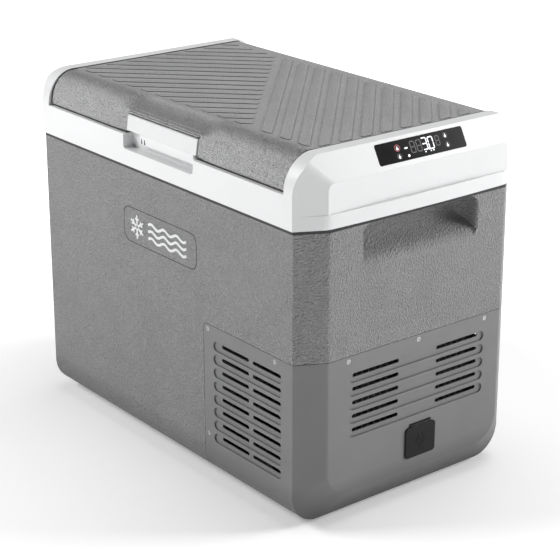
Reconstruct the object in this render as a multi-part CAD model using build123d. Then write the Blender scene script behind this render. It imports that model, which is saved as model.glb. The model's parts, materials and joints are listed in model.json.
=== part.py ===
from build123d import *
import os

# Portable compressor cooler fridge. Millimetres, +Z up, front (latch side) at -Y,
# control end at +X. The origin is on the floor, under the middle of the case.

# Driving dimensions
LENGTH, WIDTH, TOP_Z = 540.0, 320.0, 430.0
FOOT_H = 6.0
WALL, GAP, LINER_T = 3.0, 0.6, 2.0
HALF_L, HALF_W = LENGTH / 2, WIDTH / 2
BEYOND = 400.0                      # clear of the object on every side, for cutting shapes

# Case: it stands a little inside the top frame, with bevelled ends
BODY_INSET, BODY_END = 2.0, 266.3
COLLAR_Z, RIM_Z = 351.0, 388.0      # underside and top of the white top frame's band
BEVEL_X, BEVEL_FRONT, BEVEL_BACK, BEVEL_LOW = 18.5, 34.5, 22.0, 31.0
EDGE_SOFT, LOW_RADIUS, PANEL_RADIUS = 7.0, 36.0, 32.0
FACE_Y = -HALF_W + BODY_INSET       # front face of the case
FEATURE_Y = 8.5                     # middle of the control end's panel features
POCKET_TOP, POCKET_LOW, POCKET_DEEP, POCKET_W = 348.0, 297.0, 30.0, 166.0
POCKET_THROAT, POCKET_R, POCKET_RIM, POCKET_CORNER = 15.0, 20.0, 5.0, 18.0
SWEEP_GROW = 1.6                    # low end of the pocket's sweep, per mm of wall
BADGE_X, BADGE_Z, BADGE_W, BADGE_H, BADGE_DEEP, BADGE_R = 1.0, 278.5, 148.0, 44.0, 1.6, 10.0

# Cold compartment: a deep tub, and a shallow shelf over the machine bay
MOUTH_X, MOUTH_Y, MOUTH_R = 222.0, 122.0, 16.0
TUB_FLOOR_Z, STEP_X, STEP_Z = 48.0, 50.0, 238.0
FLANGE_W, FLANGE_R, FRAME_T = 12.0, 20.0, 4.0
UNDER_Z = RIM_Z - FRAME_T           # underside of the top frame's deck
EVAPORATOR_T, EVAPORATOR_X, EVAPORATOR_Z = 1.5, (-200.0, 20.0), (78.0, 330.0)

# Top frame
CAP_X, CAP_FLAT_X, RIDGE_Z, LEDGE_Z = 234.2, 250.5, 400.6, 367.0
CREASE_R, PANEL_EDGE_R = 20.0, 2.0    # slope to bevel, and round the end panel
CAP_FRONT, CAP_BACK = 37.0, 23.0    # depth of the cap's shoulders
FRAME_END, BAND_END, BEVEL_START, BLEND_R = 266.5, 267.2, 248.8, 26.0
DISPLAY_Y, DISPLAY_W, DISPLAY_H, DISPLAY_DOWN = 11.5, 128.0, 24.0, 4.0
LENS_T, LENS_SINK, LENS_R = 1.6, 1.4, 2.5
WELL_LOW, WELL_DEEP, WELL_R = 370.5, 14.0, 5.0
CATCH_HALF, CATCH_T, CATCH_LOW, CATCH_TOP = 44.0, 2.4, 378.0, 384.0

# Lid
LID_HALF_L, LID_FRONT_Y, LID_BACK_Y, LID_LOW_Z = 233.2, -155.3, 144.0, 390.5
SHOULDER_Y, SHOULDER_Z, LID_BACK_R, LID_DROP = 32.0, 42.0, 10.0, 37.0
RIB_H, RIB_W, RIB_PITCH = 0.9, 12.0, 21.5
RIB_CORNER, RIB_LEAN, RIB_LEAN_LEFT = (-127.0, 118.0), -42.5, 44.5
SCOOP_BACK, SCOOP_HALF, SCOOP_DIP, SCOOP_LIP = 6.0, 80.0, 1.5, 1.5
LINER_LOW_Z = LID_LOW_Z + 1.0
PLUG_LOW_Z, PLUG_IN, PLUG_R = 372.0, 12.0, 14.0
SEAL_OUT, SEAL_IN, SEAL_LIFT = 3.0, 6.0, 0.1
HINGE_Y, HINGE_Z, HINGE_X, BARREL_R, HINGE_PIN_R = 150.0, 394.0, 150.0, 5.0, 2.0
ARM_L, EAR_L, HINGE_GAP = 24.0, 12.0, 0.3

# Latch
LATCH_X, LATCH_HALF, NOTCH_TOP, NOTCH_DEEP = 3.0, 70.0, 414.0, 15.0
LATCH_PIVOT_Y, LATCH_PIVOT_Z, LATCH_PIN_R = -146.5, 404.0, 1.5
POST_STEP, POST_HALF, LUG_STEP, LUG_HALF = 44.0, 2.5, 36.0, 5.0

# Machine bay and its cover, at the case's low control end
BAY_X, BAY_Z, BAY_R = 86.0, 200.0, 5.0
SLOT_W, SLOT_PITCH, SLOT_DEEP = 12.0, 16.35, 1.8
LOUVRE_H, LOUVRE_DROP, LOUVRE_L = 4.6, 1.6, 50.0
FRONT_SLOTS, FRONT_SLOT_X, FRONT_SLOT_Z, FRONT_SLOT_L = 8, 167.0, 176.5, 125.0
END_SLOTS, END_SLOT_Z, END_SLOT_L = 5, 173.0, 204.0
SCREW_TOP_Z, SCREW_LOW_Z, SCREW_LEFT_X, SCREW_RIGHT_X, SCREW_STEP = 193.5, 63.0, 93.5, 216.0, 103.0
SCREW_SINK, SCREW_HEAD_R, SCREW_R = 1.2, 2.9, 1.5
FLAP_Y, FLAP_Z, FLAP_W, FLAP_H, FLAP_R = 13.5, 69.0, 46.0, 38.0, 4.5
FLAP_PIN_R, FLAP_KNUCKLE_R, KNUCKLE_HALF, EAR_END = 0.8, 1.6, 12.0, 16.0
FLAP_PIN_X, FLAP_PIN_Z = BODY_END + 0.3, FLAP_Z + FLAP_H / 2 + 1.8
INLET_W, INLET_H, INLET_DEEP = 26.0, 16.0, 22.0
BASE_Z = FOOT_H + WALL              # inner face of the case's floor
DECK_Z = BASE_Z + 2.0               # top of the base plate
COMP_X, COMP_Y, COMP_R, COMP_LOW, COMP_TOP, COMP_SEAM = 150.0, 72.0, 46.0, 26.0, 150.0, 96.0
COMP_PAD_R, GROMMET_R = 9.0, 4.0
COND_X, COND_T, COND_LOW, COND_TOP = 236.0, 22.0, 98.0, 188.0
FINS, FIN_PITCH, COND_TUBES, COND_PITCH, COND_REACH = 24, 9.0, 4, 22.0, 110.0
FAN_X, FAN_Y, FAN_Z, FAN_SIZE, FAN_T = 206.0, -56.0, 142.0, 100.0, 20.0
FAN_BORE, FAN_HUB, FAN_SHAFT, FAN_BLADES = 46.0, 18.0, 2.0, 7
FOOT_X, FOOT_Y, FOOT_R = 200.0, 96.0, 13.0

# Inside
BIN_LEFT, BIN_SIDE, BIN_H, BIN_T = 14.0, 6.0, 70.0, 2.0
LAMP_W, LAMP_H, LAMP_Z = 28.0, 12.0, 346.0


def block(x0, x1, y0, y1, z0, z1):
    """Box between two corners."""
    return Pos((x0 + x1) / 2, (y0 + y1) / 2, (z0 + z1) / 2) * Box(x1 - x0, y1 - y0, z1 - z0)


def across(x):
    """Plane square to X, with local x along Y and local y along Z."""
    return Plane(origin=(x, 0, 0), x_dir=(0, 1, 0), z_dir=(1, 0, 0))


def along(y):
    """Plane square to Y, with local x along X and local y along Z."""
    return Plane(origin=(0, y, 0), x_dir=(1, 0, 0), z_dir=(0, -1, 0))


def rod(start, end, radius):
    """Round bar between two points."""
    line = Vector(*end) - Vector(*start)
    return extrude(Plane(origin=start, z_dir=line) * Circle(radius), line.length)


def bar_x(x0, x1, y, z, radius):
    """Round bar along X."""
    return rod((x0, y, z), (x1, y, z), radius)


def group(pieces):
    """Several separate solids as one shape."""
    return Compound(children=[solid for piece in pieces for solid in piece.solids()])


def case_section(x, y0, y1, z0, z1, radius):
    """Cross-section of the case with its two low corners rounded."""
    sheet = Pos((y0 + y1) / 2, (z0 + z1) / 2) * Rectangle(y1 - y0, z1 - z0)
    return across(x) * fillet(sheet.vertices().sort_by(Axis.Y)[:2], radius)


def case_volume(inset, top):
    """The case's volume, set in from its outside: square body with bevelled ends."""
    half_l, half_w = BODY_END - inset, HALF_W - BODY_INSET - inset
    low, straight = FOOT_H + inset, BODY_END - inset - BEVEL_X
    full = (-half_w, half_w, low, top, LOW_RADIUS - inset)
    end = (-half_w + BEVEL_FRONT, half_w - BEVEL_BACK, low + BEVEL_LOW, top, PANEL_RADIUS - inset)
    volume = extrude(case_section(-straight, *full), 2 * straight)
    for side in (-1, 1):
        pair = [case_section(side * straight, *full), case_section(side * half_l, *end)]
        volume += loft(pair, ruled=True)
    if inset:
        return volume
    rims = [edge for edge in volume.edges()
            if abs(abs(edge.center().X) - half_l) < 0.1 and edge.center().Z < top - 1]
    return fillet(rims, EDGE_SOFT)


def plan(inset, end=FRAME_END, bow=0.0, blend=0.0):
    """Top view of the frame: bevelled corners, and ends that may bow outwards."""
    half_l, half_w, start = end - inset, HALF_W - inset, BEVEL_START - inset * 0.6
    edges = []
    for side in (-1, 1):
        bevel = Line((side * start, -half_w), (side * half_l, -half_w + BEVEL_FRONT))
        tail = Line((side * half_l, half_w - BEVEL_BACK), (side * start, half_w))
        edges += [bevel, tail]
        if bow:
            edges.append(ThreePointArc(bevel @ 1, (side * (half_l + bow), FEATURE_Y), tail @ 0))
        else:
            edges.append(Line(bevel @ 1, tail @ 0))
    edges += [Line((-start, y), (start, y)) for y in (-half_w, half_w)]
    face = make_face(edges)
    if blend:
        face = fillet([v for v in face.vertices() if abs(v.X) > half_l - 1], blend)
    return face


def shoulder_profile(front, back, depth, back_depth, low, top, drop):
    """Side view with elliptical shoulders front and back."""
    nose = EllipticalCenterArc((front + depth, top - drop), depth, drop, 90, arc_size=90)
    tail = EllipticalCenterArc((back - back_depth, top - drop), back_depth, drop, 0, arc_size=90)
    flat = Line(tail @ 1, nose @ 0)
    sides = Polyline(nose @ 1, (front, low), (back, low), tail @ 0)
    return make_face(nose + tail + flat + sides)


# ---------------------------------------------------------------- case

def bay_volume(grow):
    """The machine bay's share of the case, grown or shrunk at its two inner sides."""
    box = block(BAY_X - grow, BEYOND, -BEYOND, BEYOND, 0, BAY_Z + grow)
    corner = box.edges().filter_by(Axis.Y).sort_by(Axis.X)[:2].sort_by(Axis.Z)[-1]
    return fillet(corner, BAY_R + grow)


def pocket_volume(side, grow):
    """Hand pocket under the frame: deep at its top, swept out softly to the face below."""
    out, face, back = BODY_END + 8, BODY_END + 0.5, BODY_END - POCKET_DEEP
    start = (back - grow, POCKET_TOP - POCKET_THROAT - grow / 2)
    end = (face, POCKET_LOW - SWEEP_GROW * grow)
    sweep = Spline(start, end, tangents=[(0, -1), (0.15, -1)])
    frame = Polyline(end, (out, end[1]), (out, COLLAR_Z + grow), (start[0], COLLAR_Z + grow), start)
    profile = make_face(sweep + frame)
    hollow = Pos((back + face) / 2, FEATURE_Y) * Rectangle(face - back, POCKET_W)
    hollow = fillet(hollow.vertices().sort_by(Axis.X)[:2], POCKET_R)
    mouth = Pos((face + out) / 2, FEATURE_Y) * Rectangle(out - face, POCKET_W + 4 * POCKET_RIM)
    hollow += mouth
    inside = [v for v in hollow.vertices()
              if abs(v.X - face) < 0.1 and abs(v.Y - FEATURE_Y) < POCKET_W / 2 + 1]
    hollow = fillet(inside, POCKET_RIM)
    outline = RectangleRounded(POCKET_W + 2 * POCKET_RIM - 2, POCKET_TOP - POCKET_LOW - 1, POCKET_CORNER)
    outline = Pos(FEATURE_Y, (POCKET_TOP + POCKET_LOW + 1) / 2) * outline
    if grow:
        hollow, outline = offset(hollow, grow), offset(outline, grow)
    solid = extrude(along(HALF_W) * profile, WIDTH) & extrude(hollow, BEYOND)
    solid &= extrude(across(0) * outline, BEYOND)
    return solid if side > 0 else mirror(solid, Plane.YZ)


def badge_sheet(shrink):
    """Outline of the badge on the front."""
    sheet = RectangleRounded(BADGE_W - 2 * shrink, BADGE_H - 2 * shrink, BADGE_R - shrink)
    return Pos(BADGE_X, BADGE_Z) * sheet


def badge_volume(shrink, back):
    """Badge recess, or the plate in it."""
    return extrude(along(FACE_Y + back) * badge_sheet(shrink), BADGE_DEEP)


def make_outer_shell():
    hollow = case_volume(WALL, COLLAR_Z) - bay_volume(WALL)
    shell = case_volume(0, COLLAR_Z) - bay_volume(0)
    for side in (-1, 1):
        hollow -= pocket_volume(side, WALL)
        shell -= pocket_volume(side, 0)
    shell -= hollow
    return shell - badge_volume(0, BADGE_DEEP)


def tub(grow, top):
    """Inside of the liner, grown outwards: deep tub and a shallow shelf over the bay."""
    deep = block(-MOUTH_X - grow, STEP_X + grow, -MOUTH_Y - grow, MOUTH_Y + grow,
                 TUB_FLOOR_Z - grow, top)
    shallow = block(-MOUTH_X - grow, MOUTH_X + grow, -MOUTH_Y - grow, MOUTH_Y + grow,
                    STEP_Z - grow, top)
    pieces = []
    for piece in (deep, shallow):
        pieces.append(fillet(piece.edges().filter_by(Axis.Z), MOUTH_R + grow))
    return pieces[0] + pieces[1]


def liner_lip():
    """Flat flange round the liner's mouth, which hangs it under the top frame."""
    lip = block(-MOUTH_X - FLANGE_W, MOUTH_X + FLANGE_W, -MOUTH_Y - FLANGE_W,
                MOUTH_Y + FLANGE_W, UNDER_Z - LINER_T, UNDER_Z)
    return fillet(lip.edges().filter_by(Axis.Z), FLANGE_R)


def make_inner_liner():
    return tub(LINER_T, UNDER_Z) + liner_lip() - tub(0, UNDER_Z + 1)


def make_foam():
    foam = case_volume(WALL, COLLAR_Z) - bay_volume(WALL)
    foam += extrude(Pos(0, 0, COLLAR_Z) * plan(2 * WALL), UNDER_Z - COLLAR_Z)
    foam -= tub(LINER_T, UNDER_Z) + liner_lip()
    for side in (-1, 1):
        foam -= pocket_volume(side, WALL)
    foam -= latch_well(LINER_T)
    return foam - evaporator_volume()


def evaporator_volume():
    """Aluminium plates on the deep tub's long sides."""
    inner = MOUTH_Y + LINER_T
    outer = inner + EVAPORATOR_T
    return group([block(*EVAPORATOR_X, y0, y1, *EVAPORATOR_Z)
                  for y0, y1 in ((-outer, -inner), (inner, outer))])


# ---------------------------------------------------------------- top frame

def cap_volume(side, inset):
    """End cap beside the lid: flat strip, slope, and steep face, with rounded shoulders."""
    edge, flat = CAP_X + inset, CAP_FLAT_X - inset * 0.6
    top, out = TOP_Z - inset, FRAME_END - inset
    front = make_face(Polyline((edge, RIM_Z), (edge, top), (flat, top), (out, RIDGE_Z - inset * 0.6),
                               (out, RIM_Z), close=True))
    body = extrude(along(HALF_W) * front, WIDTH)
    shell = shoulder_profile(-HALF_W + inset, HALF_W - inset, CAP_FRONT, CAP_BACK, RIM_Z - 1,
                             top, SHOULDER_Z - inset)
    body &= extrude(across(0) * shell, BEYOND)
    body &= extrude(Pos(0, 0, RIM_Z) * plan(inset), BEYOND)
    if not inset:
        creases = [edge for edge in body.edges().filter_by(GeomType.LINE)
                   if edge.center().Z > RIDGE_Z + 1 and abs((edge @ 0).X - (edge @ 1).X) > 1
                   and abs((edge @ 0).Y - (edge @ 1).Y) > 1]
        body = fillet(creases, CREASE_R)
        panel_rim = [edge for edge in body.edges() if edge.center().Z > RIM_Z + 1
                     and abs((edge @ 0).X - out) + abs((edge @ 1).X - out) < 0.1]
        body = fillet(panel_rim, PANEL_EDGE_R)
    return body if side > 0 else mirror(body, Plane.YZ)


def latch_well(grow):
    """Recess in the front of the top frame, open upwards, that the latch reaches into."""
    x0, x1 = LATCH_X - LATCH_HALF - grow, LATCH_X + LATCH_HALF + grow
    well = block(x0, x1, -HALF_W - 5, -HALF_W + WELL_DEEP + grow, WELL_LOW - grow, RIM_Z + 5)
    low = well.edges().filter_by(Axis.Y).sort_by(Axis.Z)[:2]
    return fillet(low, WELL_R)


def slope_plane(lift):
    """Plane on the control panel's slope, local x along Y and local y up the slope."""
    drop, run = TOP_Z - RIDGE_Z, FRAME_END - CAP_FLAT_X
    normal = Vector(drop, 0, run).normalized()
    down = Vector(run, 0, -drop).normalized()
    centre = Vector(CAP_FLAT_X, DISPLAY_Y, TOP_Z) + down * (DISPLAY_DOWN + DISPLAY_H / 2)
    return Plane(origin=centre + normal * lift, x_dir=(0, 1, 0), z_dir=normal)


def make_top_frame():
    band = plan(0, BAND_END, HALF_L - BAND_END, BLEND_R)
    frame = extrude(Pos(0, 0, COLLAR_Z) * band, LEDGE_Z - COLLAR_Z)
    frame += extrude(Pos(0, 0, LEDGE_Z) * plan(0, blend=PANEL_EDGE_R), RIM_Z - LEDGE_Z)
    frame -= extrude(Pos(0, 0, COLLAR_Z) * plan(2 * WALL), UNDER_Z - COLLAR_Z)
    for side in (-1, 1):
        frame += cap_volume(side, 0) - cap_volume(side, WALL)
    mouth = block(-MOUTH_X, MOUTH_X, -MOUTH_Y, MOUTH_Y, COLLAR_Z, RIM_Z + 1)
    frame -= fillet(mouth.edges().filter_by(Axis.Z), MOUTH_R)
    frame += latch_well(LINER_T) & extrude(Pos(0, 0, COLLAR_Z) * plan(0.5), RIM_Z - COLLAR_Z)
    frame -= latch_well(0)
    window = slope_plane(-6) * Rectangle(DISPLAY_W - 8, DISPLAY_H - 6)
    frame -= extrude(window, 12)
    return frame - extrude(slope_plane(-LENS_SINK) * RectangleRounded(DISPLAY_W, DISPLAY_H, LENS_R), 6)


def make_display_lens():
    play = 0.3
    glass = RectangleRounded(DISPLAY_W - play, DISPLAY_H - play, LENS_R - play / 2)
    return extrude(slope_plane(-LENS_SINK) * glass, LENS_T)


def make_display_board():
    """Circuit board behind the lens, with the raised block of the digits."""
    board = extrude(slope_plane(-7.6) * Rectangle(DISPLAY_W - 14, DISPLAY_H - 8), 1.6)
    digits = extrude(slope_plane(-6) * Rectangle(46, 12), 4.4)
    return board + digits


def make_latch_catch():
    """Fixed catch on the back of the latch recess."""
    wall = -HALF_W + WELL_DEEP
    x0, x1 = LATCH_X - CATCH_HALF, LATCH_X + CATCH_HALF
    return block(x0, x1, wall - CATCH_T, wall, CATCH_LOW, CATCH_TOP)


# ---------------------------------------------------------------- lid

def lid_volume(inset, low=LID_LOW_Z):
    """The lid's volume: rounded shoulders front and back, straight ends."""
    profile = shoulder_profile(LID_FRONT_Y + inset, LID_BACK_Y - inset, SHOULDER_Y - inset / 2,
                               LID_BACK_R - inset / 2, low, TOP_Z - RIB_H - inset,
                               LID_DROP - inset)
    half = LID_HALF_L - inset
    return extrude(across(-half) * profile, 2 * half) - finger_scoop(inset)


def finger_scoop(sink):
    """Hollow pressed into the lid's front shoulder over the latch."""
    start_y, top = LID_FRONT_Y + SHOULDER_Y + SCOOP_BACK, TOP_Z - RIB_H - sink
    end_y, end_z = LID_FRONT_Y + 7, NOTCH_TOP + SCOOP_LIP - sink
    dip = ((start_y + end_y) / 2, (top + end_z) / 2 - SCOOP_DIP)
    curve = ThreePointArc((start_y, top), dip, (end_y, end_z))
    rest = Polyline(curve @ 1, (-HALF_W, end_z), (-HALF_W, TOP_Z + 5), (start_y, TOP_Z + 5), curve @ 0)
    half = SCOOP_HALF + sink
    return extrude(across(LATCH_X - half) * make_face(curve + rest), 2 * half)


def rib_pads():
    """Two families of slanting pads on the lid's flat top, which meet on a diagonal."""
    field = Pos(0, 2) * RectangleRounded(2 * LID_HALF_L - 10, 236, 6)
    channel, sink, least_area = 4.0, 0.2, 60.0
    diagonal = Pos(*RIB_CORNER) * Rot(0, 0, RIB_LEAN)
    pads = []
    for row in range(12):
        reach = row * RIB_PITCH + RIB_PITCH / 2 + channel
        pads.append(field & (diagonal * Pos(0, reach) * Rectangle(4 * BEYOND, RIB_W)))
    left_side = diagonal * Pos(0, -BEYOND - channel) * Rectangle(2 * BEYOND, 2 * BEYOND)
    for row in range(19):
        strip = Pos(-LID_HALF_L, 104) * Rot(0, 0, RIB_LEAN_LEFT) * Pos(0, -row * RIB_PITCH)
        pads.append(field & left_side & (strip * Rectangle(4 * BEYOND, RIB_W)))
    return [extrude(Pos(0, 0, TOP_Z - RIB_H - sink) * face, RIB_H + sink)
            for pad in pads for face in pad.faces() if face.area > least_area]


def latch_notch(grow):
    """Notch in the lid's front for the latch."""
    x0, x1 = LATCH_X - LATCH_HALF - grow, LATCH_X + LATCH_HALF + grow
    return block(x0, x1, -BEYOND, LID_FRONT_Y + NOTCH_DEEP + grow, RIM_Z - 8, NOTCH_TOP + grow)


def make_lid_outer():
    shell = lid_volume(0) - (lid_volume(WALL, LID_LOW_Z - 5) - latch_notch(WALL)) - latch_notch(0)
    for pad in rib_pads():
        shell += pad
    return shell


def plug_volume(inset):
    """The raised pad under the lid that reaches into the liner's mouth."""
    half_x, half_y = MOUTH_X - PLUG_IN - inset, MOUTH_Y - PLUG_IN - inset
    pad = block(-half_x, half_x, -half_y, half_y, PLUG_LOW_Z + inset, LID_LOW_Z + 6)
    return fillet(pad.edges().filter_by(Axis.Z), PLUG_R - inset)


def below(z):
    """Everything under a level."""
    return block(-BEYOND, BEYOND, -BEYOND, BEYOND, 0, z)


def make_lid_liner():
    half = LID_HALF_L - WALL - 0.2
    floor = block(-half, half, LID_FRONT_Y + WALL + 0.4, LID_BACK_Y - WALL - 0.2,
                  LINER_LOW_Z, LINER_LOW_Z + LINER_T)
    floor += plug_volume(0) & below(LINER_LOW_Z + LINER_T)
    floor -= plug_volume(LINER_T)
    return floor - latch_notch(WALL + 0.2) - make_lid_gasket()


def make_lid_gasket():
    """Ring round the plug that seals on the top frame."""
    rings = []
    for step, radius in ((SEAL_OUT, MOUTH_R + 2), (-SEAL_IN, MOUTH_R - 5)):
        half_x, half_y = MOUTH_X + step, MOUTH_Y + step
        ring = block(-half_x, half_x, -half_y, half_y, RIM_Z + SEAL_LIFT, LINER_LOW_Z + 1)
        rings.append(fillet(ring.edges().filter_by(Axis.Z), radius))
    return rings[0] - rings[1]


def make_lid_foam():
    foam = lid_volume(WALL) - below(LINER_LOW_Z + LINER_T)
    foam += plug_volume(LINER_T) & below(LINER_LOW_Z + LINER_T + 1)
    return foam - latch_notch(WALL)


def hinge_barrel(centre, length, hole):
    """Round hinge barrel, bored along X."""
    x0, x1 = centre - length / 2, centre + length / 2
    return bar_x(x0, x1, HINGE_Y, HINGE_Z, BARREL_R), bar_x(x0 - 1, x1 + 1, HINGE_Y, HINGE_Z, hole)


def make_lid_hinge_arms():
    arms = []
    for x in (-HINGE_X, HINGE_X):
        barrel, hole = hinge_barrel(x, ARM_L, HINGE_PIN_R + 0.05)
        web = block(x - ARM_L / 2, x + ARM_L / 2, LID_BACK_Y, HINGE_Y, HINGE_Z - 2, HINGE_Z + BARREL_R)
        pad = block(x - ARM_L / 2, x + ARM_L / 2, LID_BACK_Y, LID_BACK_Y + 2, HINGE_Z - 2, HINGE_Z + 14)
        arms.append(barrel + web + pad - hole)
    return group(arms)


def make_hinge_brackets():
    brackets = []
    for x in (-HINGE_X, HINGE_X):
        for side in (-1, 1):
            centre = x + side * (ARM_L / 2 + HINGE_GAP + EAR_L / 2)
            barrel, hole = hinge_barrel(centre, EAR_L, HINGE_PIN_R)
            foot = block(centre - EAR_L / 2, centre + EAR_L / 2, HINGE_Y - 3, HALF_W - 1,
                         RIM_Z, HINGE_Z - 2)
            brackets.append(barrel + foot - hole)
    return group(brackets)


def make_hinge_pins():
    reach = ARM_L / 2 + HINGE_GAP + EAR_L
    return group([bar_x(x - reach, x + reach, HINGE_Y, HINGE_Z, HINGE_PIN_R)
                  for x in (-HINGE_X, HINGE_X)])


# ---------------------------------------------------------------- latch

def make_latch_handle():
    """Paddle with a lower hook plate and two lugs on the latch pin."""
    half, low = LATCH_HALF - 1.2, LID_LOW_Z + 1.0
    hook_left, hook_right = LATCH_X - 45, LATCH_X + 62
    profile = make_face(Polyline(
        (-153.6, low), (-155.0, low + 0.6), (-152.4, NOTCH_TOP - 4.4), (-151.2, NOTCH_TOP - 3.4),
        (-149.0, NOTCH_TOP - 3.8), (-151.4, low + 2.5), (-150.6, low), (-149.6, 381.5),
        (-148.9, 379.0), (-151.0, 378.0), (-152.4, 380.0), close=True))
    handle = extrude(across(LATCH_X - half) * profile, 2 * half)
    handle -= block(-BEYOND, hook_left, -BEYOND, 0, 0, low - 0.01)
    handle -= block(hook_right, BEYOND, -BEYOND, 0, 0, low - 0.01)
    for step in (-LUG_STEP, LUG_STEP):
        handle += latch_eye(step, LUG_HALF, -151.6, 3.5)
    return handle - latch_bar(LATCH_HALF, LATCH_PIN_R + 0.05)


def latch_bar(half, radius):
    """Round bar on the latch's pivot line."""
    return bar_x(LATCH_X - half, LATCH_X + half, LATCH_PIVOT_Y, LATCH_PIVOT_Z, radius)


def latch_eye(step, half, wall, radius):
    """Round eye on the latch pin, joined to the wall at y = wall."""
    x0, x1 = LATCH_X + step - half, LATCH_X + step + half
    y0, y1 = sorted((LATCH_PIVOT_Y, wall))
    web = block(x0, x1, y0, y1, LATCH_PIVOT_Z - radius, LATCH_PIVOT_Z + radius)
    return web + bar_x(x0, x1, LATCH_PIVOT_Y, LATCH_PIVOT_Z, radius)


def make_latch_bracket():
    """Two posts on the back of the lid's notch that hold the latch pin."""
    bore = latch_bar(LATCH_HALF, LATCH_PIN_R)
    return group([latch_eye(step, POST_HALF, LID_FRONT_Y + NOTCH_DEEP, 3) - bore
                  for step in (-POST_STEP, POST_STEP)])


def make_latch_pin():
    return latch_bar(POST_STEP + POST_HALF - 0.5, LATCH_PIN_R)


# ---------------------------------------------------------------- machine cover

def slot_cut(plane_at, x, z, length, louvres):
    """Stadium recess with louvre openings in its upper part. plane_at(depth) is a plane."""
    recess = Pos(x, z) * SlotOverall(length, SLOT_W)
    cut = extrude(plane_at(SLOT_DEEP) * recess, 8)
    louvre_z = z + (SLOT_W - LOUVRE_H) / 2 - LOUVRE_DROP
    for centre, reach in louvres:
        cut += extrude(plane_at(2 * WALL) * Pos(centre, louvre_z) * SlotOverall(reach, LOUVRE_H), 10)
    return cut


def front_plane(depth):
    """Plane square to Y on the cover's front, by its depth below the face."""
    return along(FACE_Y + depth)


def end_plane(depth):
    """Plane square to X on the control end, by its depth below the face."""
    return across(BODY_END - depth)


def on_cover(make):
    """The shape that make(plane, x, z) gives at each screw, on the front, end and back."""
    spots = [(SCREW_LEFT_X, SCREW_TOP_Z), (SCREW_RIGHT_X, SCREW_TOP_Z), (SCREW_LEFT_X, SCREW_LOW_Z)]
    front = [make(front_plane, x, z) for x, z in spots]
    back = [mirror(shape, Plane.XZ) for shape in front]
    end = [make(end_plane, FEATURE_Y + step, SCREW_TOP_Z) for step in (-SCREW_STEP, 0, SCREW_STEP)]
    return front + back + end


def screw_hole(plane_at, x, z):
    """Counterbored hole for one cover screw."""
    seat = extrude(plane_at(SCREW_SINK) * Pos(x, z) * Circle(SCREW_HEAD_R + 0.3), 3)
    return seat + extrude(plane_at(8) * Pos(x, z) * Circle(SCREW_R + 0.3), 10)


def flap_groove():
    """Groove in the cover behind the flap's hinge."""
    half = EAR_END + 0.4
    return block(BODY_END - 2, BODY_END + 1, FLAP_Y - half, FLAP_Y + half,
                 FLAP_PIN_Z - 2.2, FLAP_PIN_Z + 2.6)


def make_lower_cover():
    cover = case_volume(0, BAY_Z - GAP) - case_volume(WALL, BAY_Z)
    cover &= bay_volume(-GAP)
    cover -= block(BAY_X + 14, HALF_L - 34, -HALF_W + 44, HALF_W - 44, 0, BASE_Z + 0.5)
    pair = [(FRONT_SLOT_X + 5 + step, LOUVRE_L) for step in (-28.5, 28.5)]
    for row in range(FRONT_SLOTS):
        cut = slot_cut(front_plane, FRONT_SLOT_X, FRONT_SLOT_Z - row * SLOT_PITCH, FRONT_SLOT_L, pair)
        cover -= cut
        cover -= mirror(cut, Plane.XZ)
    ends = [(FEATURE_Y - 62, 68.0), (FEATURE_Y + 61, 64.0)]
    for row in range(END_SLOTS):
        cover -= slot_cut(end_plane, FEATURE_Y, END_SLOT_Z - row * SLOT_PITCH, END_SLOT_L, ends)
    window = Pos(FLAP_Y, FLAP_Z) * RectangleRounded(FLAP_W - 8, FLAP_H - 10, 3)
    cover -= extrude(end_plane(8) * window, 12)
    for hole in on_cover(screw_hole):
        cover -= hole
    return cover - flap_groove()


def cover_screw(plane_at, x, z):
    """Cross-head screw in the cover."""
    head = extrude(plane_at(SCREW_SINK) * Pos(x, z) * Circle(SCREW_HEAD_R), 1.0)
    shank = extrude(plane_at(8) * Pos(x, z) * Circle(SCREW_R), 7)
    cross = Rectangle(3.6, 0.8) + Rectangle(0.8, 3.6)
    return head + shank - extrude(plane_at(0.9) * Pos(x, z) * cross, 2)


def make_power_socket():
    """Power inlet behind the flap: a housing with a flange, a keyed mouth and two pins."""
    spot = Pos(FLAP_Y, FLAP_Z)
    flange = extrude(end_plane(2 * WALL) * spot * RectangleRounded(FLAP_W, FLAP_H, 3), WALL)
    body = extrude(end_plane(INLET_DEEP + 4) * spot * Rectangle(FLAP_W - 12, FLAP_H - 14), 25)
    mouth = extrude(end_plane(INLET_DEEP) * spot * RectangleRounded(INLET_W, INLET_H, 3), 24)
    socket = flange + body - mouth
    for y in (-6, 6):
        socket += extrude(end_plane(INLET_DEEP + 0.5) * Pos(y, 0) * spot * Rectangle(5, 1.6), 14)
    return socket


def pin_y(half, radius):
    """Round bar on the flap's hinge line."""
    ends = [(FLAP_PIN_X, FLAP_Y + side * half, FLAP_PIN_Z) for side in (-1, 1)]
    return rod(*ends, radius)


def make_socket_flap():
    """Flap over the power inlet, with a rounded lip and a knuckle on its top edge."""
    spot, play = Pos(FLAP_Y, FLAP_Z), 0.2
    flap = extrude(across(BODY_END + play) * spot * RectangleRounded(FLAP_W, FLAP_H, FLAP_R), 1.8)
    flap = fillet(flap.faces().sort_by(Axis.X)[-1].edges(), 1.0)
    flap += extrude(end_plane(3) * spot * RectangleRounded(INLET_W - 1, INLET_H - 1, 2.8), 3.4)
    flap += pin_y(KNUCKLE_HALF, FLAP_KNUCKLE_R)
    flap += block(BODY_END + play, BODY_END + 1.6, FLAP_Y - KNUCKLE_HALF, FLAP_Y + KNUCKLE_HALF,
                  FLAP_Z + FLAP_H / 2 - 1, FLAP_PIN_Z)
    return flap - pin_y(KNUCKLE_HALF + 1, FLAP_PIN_R + 0.04)


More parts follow.
